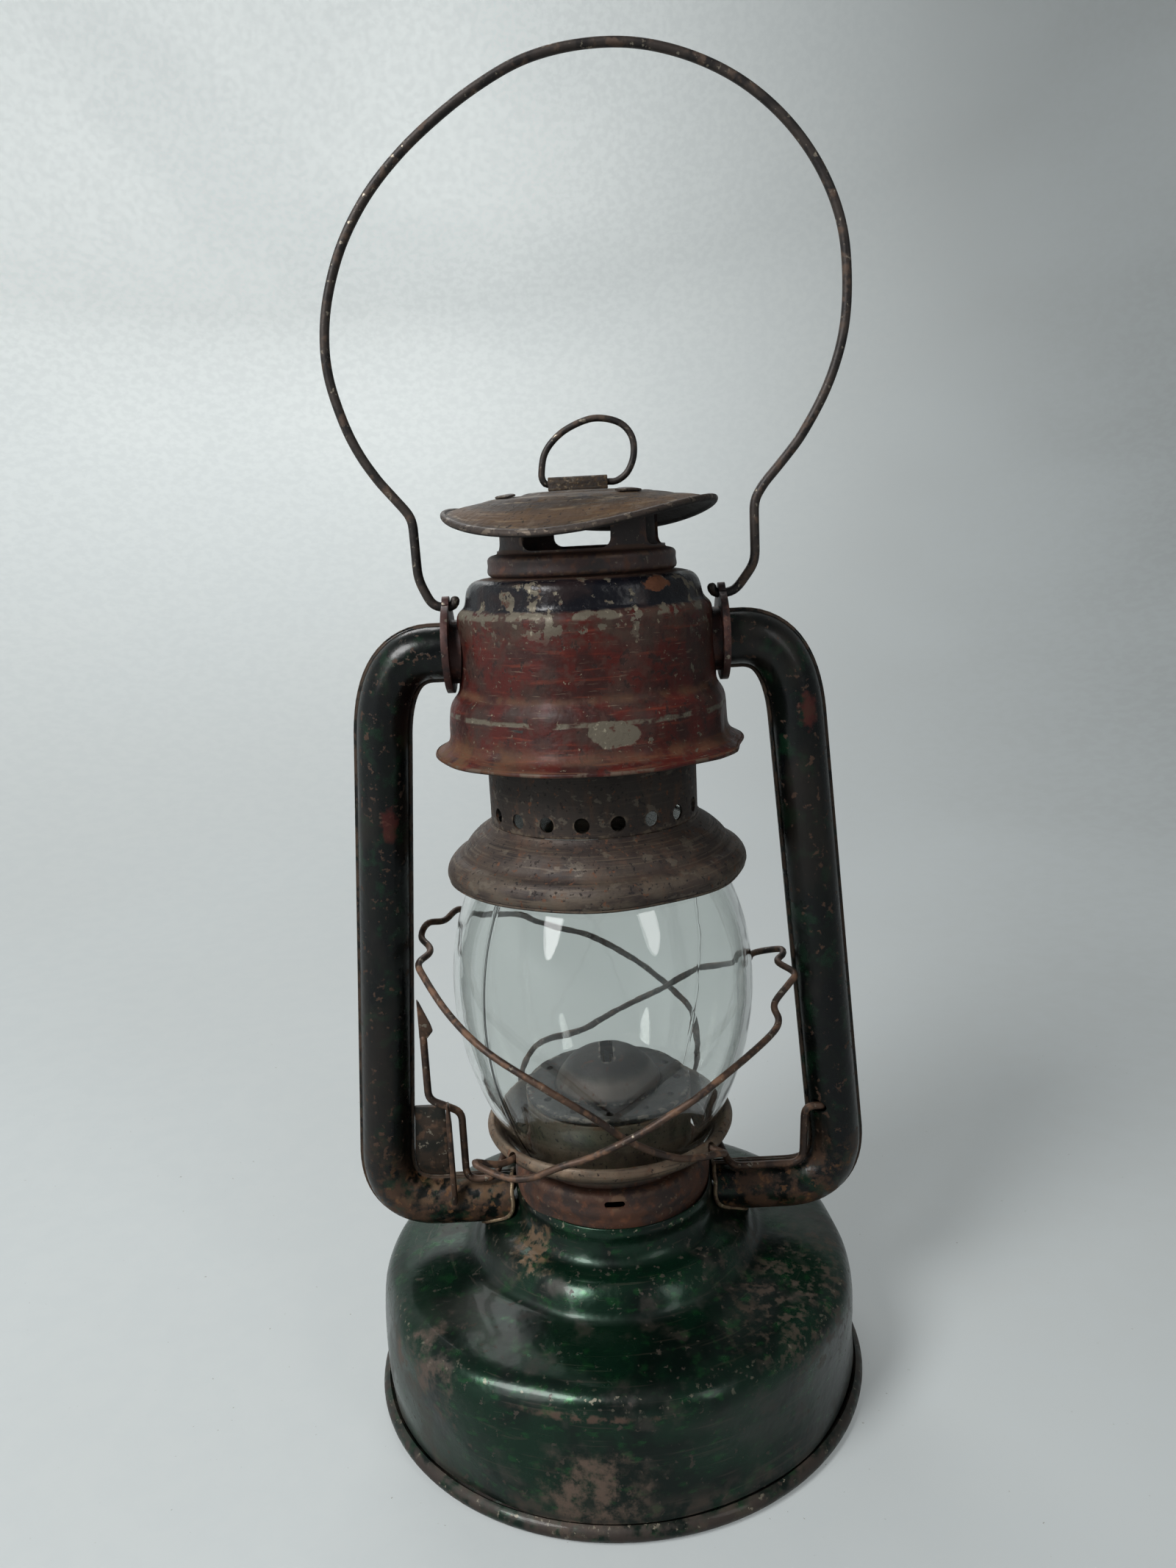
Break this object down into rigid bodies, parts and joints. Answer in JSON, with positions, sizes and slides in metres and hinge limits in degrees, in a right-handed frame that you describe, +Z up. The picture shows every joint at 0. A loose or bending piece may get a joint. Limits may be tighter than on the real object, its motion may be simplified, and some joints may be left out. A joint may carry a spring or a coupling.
{
  "type": "railroad lantern",
  "caption": "Tubular railroad lantern with a green painted fount and side tubes, a red bell, a pierced chimney and skirt over a clear globe, crossing guard wires, a lift lever and a wire bail.",
  "frame": {"origin": "middle of the foot, on the surface that the lantern stands on", "axes": "+Z up; -Y to the front, where the burner's air slot is; +X to the right of the front"},
  "size_m": [0.1772, 0.173, 0.4361],
  "materials": {
    "green_paint": "worn dark green paint with rust and grime",
    "red_paint": "worn red paint with grey bare metal patches",
    "rusty_steel": "dark rusted steel wire and plate",
    "brown_tin": "brown oxidised tin with dark pits",
    "ochre_tin": "ochre brown rust",
    "worn_brass": "tarnished brass",
    "clear_glass": "clear pressed glass",
    "cotton": "woven cotton wick",
    "cork": "pressed cork ring"
  },
  "bodies": {
    "frame": {"fount_bottom": "green_paint", "fount_body": "green_paint", "filler_neck": "worn_brass", "burner_seat": "worn_brass", "burner_body": "rusty_steel", "burner_deck": "brown_tin", "burner_cone": "brown_tin", "wick_tube": "worn_brass", "tube_left_front": "green_paint", "tube_left_back": "green_paint", "tube_right_front": "green_paint", "tube_right_back": "green_paint", "corner_web": "green_paint", "guide_blade": "rusty_steel", "bell": "red_paint", "bell_sleeve": "brown_tin", "ear_left": "rusty_steel", "ear_right": "rusty_steel"},
    "globe_carriage": {"globe": "clear_glass", "globe_plate": "brown_tin", "guard_wire_a": "rusty_steel", "guard_wire_b": "rusty_steel"},
    "lift_lever": {"lift_lever": "rusty_steel"},
    "crown": {"skirt": "brown_tin", "chimney": "brown_tin", "window_collar": "brown_tin", "cap": "ochre_tin", "cap_tab_1": "ochre_tin", "cap_tab_2": "ochre_tin", "cap_tab_3": "ochre_tin", "cap_tab_4": "ochre_tin", "ring_clip": "ochre_tin", "crown_spring": "rusty_steel"},
    "lift_ring": {"lift_ring": "rusty_steel"},
    "bail": {"bail": "rusty_steel"},
    "wick_drive": {"wick_shaft": "worn_brass", "wick_wheel_front": "worn_brass", "wick_wheel_back": "worn_brass", "wick_knob": "worn_brass"},
    "wick": {"wick": "cotton"},
    "filler_gasket": {"filler_gasket": "cork"},
    "filler_cap": {"filler_cap": "worn_brass"}
  },
  "joints": [
    {"name": "globe_lift", "type": "slide", "parent": "frame", "child": "globe_carriage", "axis": [0, 0, 1], "range_m": [0, 0.00977]},
    {"name": "lever_turn", "type": "hinge", "parent": "frame", "child": "lift_lever", "pos_m": [0.0722, -0.0056, 0.0975], "axis": [0, 1, 0], "range_deg": [0, 8]},
    {"name": "crown_lift", "type": "slide", "parent": "globe_carriage", "child": "crown", "axis": [0, 0, 1], "range_m": [0, 0.012], "stiffness_N_per_m": 300, "springref_m": -0.01, "deforming": ["crown_spring"]},
    {"name": "ring_turn", "type": "hinge", "parent": "crown", "child": "lift_ring", "pos_m": [0, 0, 0.31065], "axis": [1, 0, 0], "range_deg": [-88, 88]},
    {"name": "bail_swing", "type": "hinge", "parent": "frame", "child": "bail", "pos_m": [0, 0, 0.2744], "axis": [1, 0, 0], "range_deg": [-110, 110]},
    {"name": "wick_turn", "type": "hinge", "parent": "frame", "child": "wick_drive", "pos_m": [0.00465, 0, 0.0796], "axis": [0, 1, 0], "range_deg": [-90, 180]},
    {"name": "wick_raise", "type": "slide", "parent": "frame", "child": "wick", "axis": [0, 0, 1], "range_m": [-0.00534, 0.01068]},
    {"name": "filler_rise", "type": "slide", "parent": "frame", "child": "filler_gasket", "axis": [0, 0, 1], "range_m": [0, 0.004]},
    {"name": "filler_turn", "type": "hinge", "parent": "filler_gasket", "child": "filler_cap", "pos_m": [-0.03117, 0.05863, 0.06], "axis": [0, 0, 1], "range_deg": [0, 720]}
  ],
  "couplings": [
    {"joint": "lever_turn", "follows": "globe_lift", "rad_per_m": 14.286},
    {"joint": "wick_turn", "follows": "wick_raise", "rad_per_m": 294.12},
    {"joint": "filler_turn", "follows": "filler_rise", "rad_per_m": 3141.6}
  ]
}
